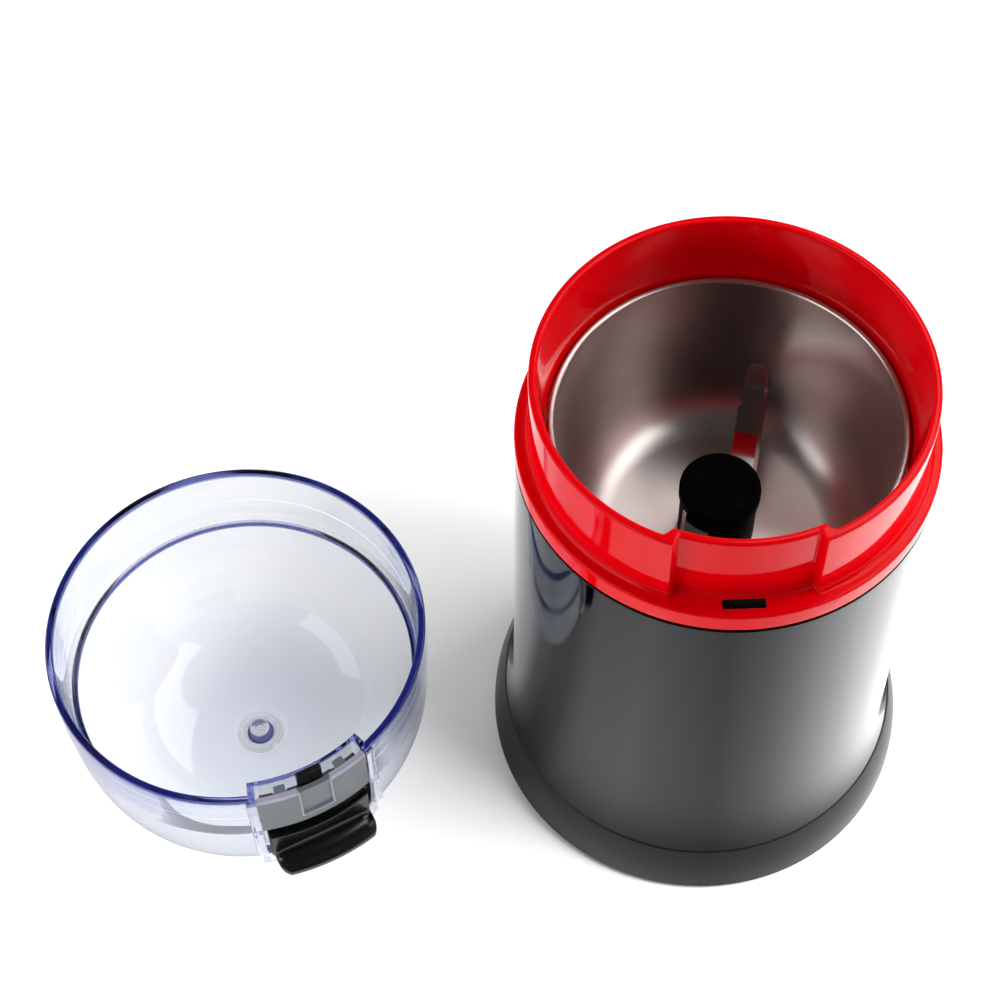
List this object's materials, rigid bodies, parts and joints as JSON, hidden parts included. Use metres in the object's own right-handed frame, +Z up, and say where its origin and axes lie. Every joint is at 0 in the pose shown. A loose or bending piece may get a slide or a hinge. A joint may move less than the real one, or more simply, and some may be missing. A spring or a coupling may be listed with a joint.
{
  "type": "electric spice grinder",
  "caption": "Electric spice grinder: flared round motor base with a steel bowl, bent blade and red rim, beside its clear lift-off lid with a press-down switch button.",
  "frame": {"origin": "where the grinder's own axis meets the surface it stands on; the taken-off lid stands on the same surface at -X", "axes": "+Z up along the blade shaft; the notch and switch slot in the red collar face -Y, the cord gland faces +Y, the lid stands at -X"},
  "size_m": [0.2195, 0.1122, 0.1556],
  "materials": {
    "base_black": "matte black nylon",
    "ring_grey": "fine satin charcoal",
    "body_gunmetal": "high gloss gunmetal",
    "collar_red": "high gloss red",
    "rubber_black": "matte",
    "screw_steel": "zinc plated",
    "bowl_steel": "satin drawn stainless steel",
    "blade_steel": "polished stainless steel",
    "gasket_grey": "matte silicone",
    "carrier_black": "matte",
    "bracket_alloy": "die cast",
    "bush_bronze": "sintered bronze",
    "lamination": "stacked electrical steel",
    "copper": "enamelled copper",
    "brass_part": "plain brass",
    "carbon": "carbon",
    "shaft_steel": "ground steel",
    "fan_plastic": "natural nylon",
    "hub_black": "satin black",
    "switch_black": "matte",
    "switch_red": "matte",
    "plunger_grey": "matte",
    "spring_steel": "spring wire",
    "terminal_cream": "matte",
    "capacitor_yellow": "gloss",
    "cutout_white": "matte",
    "lead_blue": "PVC insulation",
    "lid_clear": "clear, faint violet tint",
    "cover_clear": "clear, smoked",
    "button_black": "high gloss black"
  },
  "bodies": {
    "base": {"base_plate": "base_black", "base_ring": "ring_grey", "rubber_feet": "rubber_black", "base_screws": "screw_steel", "cord_inlet": "rubber_black", "body_sleeve": "body_gunmetal", "collar": "collar_red", "bowl_gasket": "gasket_grey", "bowl": "bowl_steel", "bowl_carrier": "carrier_black", "shaft_seal": "rubber_black", "rubber_mounts": "rubber_black", "motor_screws": "screw_steel", "upper_bracket": "bracket_alloy", "upper_bush": "bush_bronze", "stator_core": "lamination", "field_coils": "copper", "stator_bolts": "screw_steel", "lower_bracket": "base_black", "lower_bush": "bush_bronze", "brush_holders": "brass_part", "brushes": "carbon", "brush_springs": "spring_steel", "switch_body": "switch_black", "switch_terminals": "brass_part", "switch_bracket": "bracket_alloy", "plunger_spring": "spring_steel", "terminal_block": "terminal_cream", "capacitor": "capacitor_yellow", "thermal_cutout": "cutout_white", "internal_leads": "lead_blue"},
    "rotor": {"motor_shaft": "shaft_steel", "armature_core": "lamination", "armature_windings": "copper", "commutator": "brass_part", "cooling_fan": "fan_plastic", "blade_hub": "hub_black", "blade": "blade_steel", "hub_cap": "hub_black"},
    "plunger": {"switch_plunger": "plunger_grey", "switch_button": "switch_red"},
    "lid": {"lid_shell": "lid_clear", "latch_cover": "cover_clear", "button_springs": "spring_steel"},
    "button": {"lid_button": "button_black"}
  },
  "joints": [
    {"name": "blade_spin", "type": "hinge", "parent": "base", "child": "rotor", "pos_m": [0, 0, 0.107], "axis": [0, 0, 1], "continuous": true},
    {"name": "lid_lift", "type": "slide", "parent": "base", "child": "lid", "axis": [0, 0, 1], "range_m": [0, 0.2]},
    {"name": "button_press", "type": "slide", "parent": "lid", "child": "button", "axis": [0, 0, 1], "range_m": [0, 0.004], "stiffness_N_per_m": 400, "springref_m": -0.003, "deforming": ["button_springs"]},
    {"name": "plunger_press", "type": "slide", "parent": "base", "child": "plunger", "axis": [0, 0, -1], "range_m": [0, 0.002], "stiffness_N_per_m": 800, "springref_m": -0.003, "deforming": ["plunger_spring"]}
  ]
}
